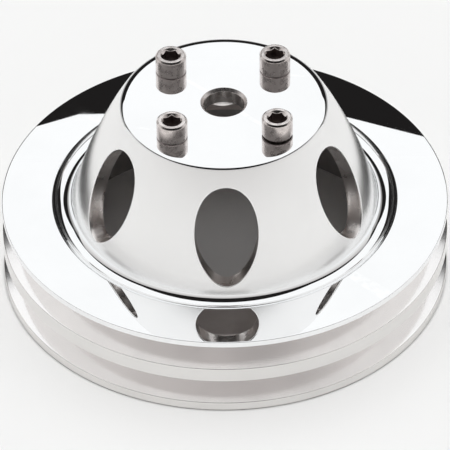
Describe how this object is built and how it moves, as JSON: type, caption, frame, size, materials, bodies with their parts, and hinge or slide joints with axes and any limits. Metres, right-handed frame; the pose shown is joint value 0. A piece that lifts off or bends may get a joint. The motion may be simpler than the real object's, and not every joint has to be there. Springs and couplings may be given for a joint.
{
  "type": "v-belt pulley",
  "caption": "Polished V-belt pulley with a grooved rim, a domed nose pierced by egg-shaped windows, a chamfered pilot bore and socket head mounting screws.",
  "frame": {"origin": "centre of the rear rim, the face that the pulley stands on", "axes": "+Z along the bore from the rear rim to the nose face, -Y towards the front window"},
  "size_m": [0.1746, 0.1746, 0.0904],
  "materials": {
    "polished_aluminium": "mirror polished",
    "polished_screw_steel": "polished"
  },
  "bodies": {
    "pulley": {"pulley": "polished_aluminium"},
    "screw_back_right": {"screw_back_right": "polished_screw_steel"},
    "screw_back_left": {"screw_back_left": "polished_screw_steel"},
    "screw_front_left": {"screw_front_left": "polished_screw_steel"},
    "screw_front_right": {"screw_front_right": "polished_screw_steel"}
  },
  "joints": [
    {"name": "screw_back_right_slide", "type": "slide", "parent": "pulley", "child": "screw_back_right", "axis": [0, 0, 1], "range_m": [0, 0.01905]},
    {"name": "screw_back_left_slide", "type": "slide", "parent": "pulley", "child": "screw_back_left", "axis": [0, 0, 1], "range_m": [0, 0.01905]},
    {"name": "screw_front_left_slide", "type": "slide", "parent": "pulley", "child": "screw_front_left", "axis": [0, 0, 1], "range_m": [0, 0.01905]},
    {"name": "screw_front_right_slide", "type": "slide", "parent": "pulley", "child": "screw_front_right", "axis": [0, 0, 1], "range_m": [-0.0007, 0.01835]}
  ]
}
